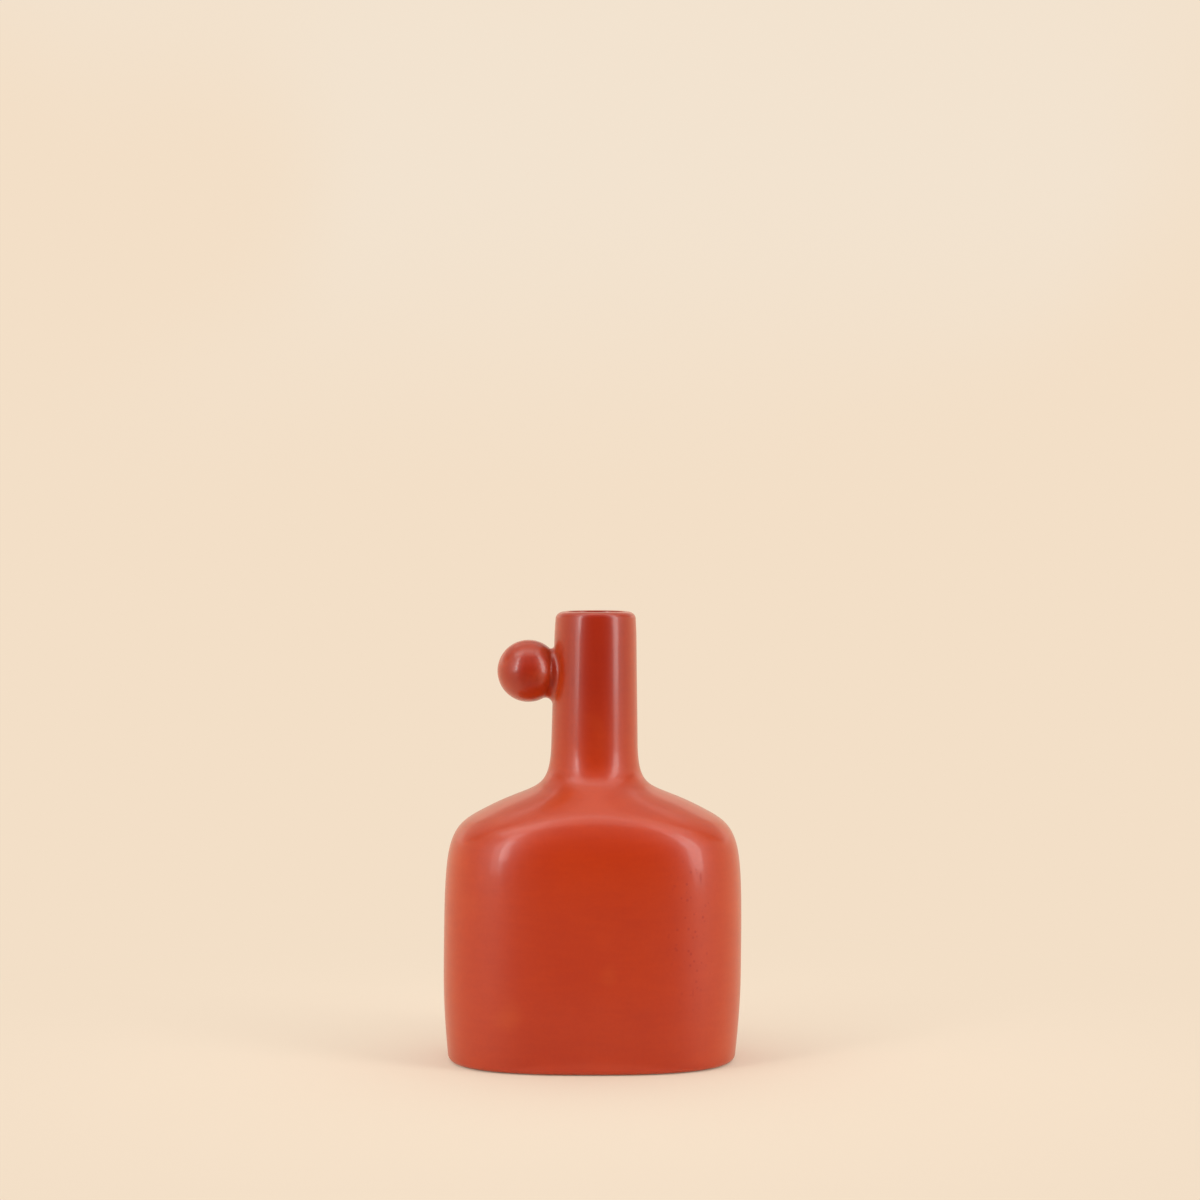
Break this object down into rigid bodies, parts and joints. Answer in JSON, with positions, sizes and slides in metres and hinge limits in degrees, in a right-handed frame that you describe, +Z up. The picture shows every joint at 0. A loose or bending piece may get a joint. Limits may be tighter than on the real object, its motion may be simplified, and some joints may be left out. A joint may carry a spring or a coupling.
{
  "type": "bottle vase",
  "caption": "Ceramic bottle vase: flattened square-shouldered flask, round neck with an open lip, and a ball on the neck's side.",
  "frame": {"origin": "on the floor, under the middle of the vase's box", "axes": "+Z up along the neck, -Y out of the broad front, -X towards the ball"},
  "size_m": [0.1199, 0.086, 0.18],
  "materials": {
    "body_glaze": "satin",
    "neck_glaze": "satin",
    "ball_glaze": "satin",
    "bead_glaze": "satin",
    "bare_clay": "matte"
  },
  "bodies": {
    "root": {"body_shell": "body_glaze", "base_slab": "bare_clay", "neck_tube": "neck_glaze", "side_ball": "ball_glaze", "ball_slip_bead": "bead_glaze"}
  },
  "joints": []
}
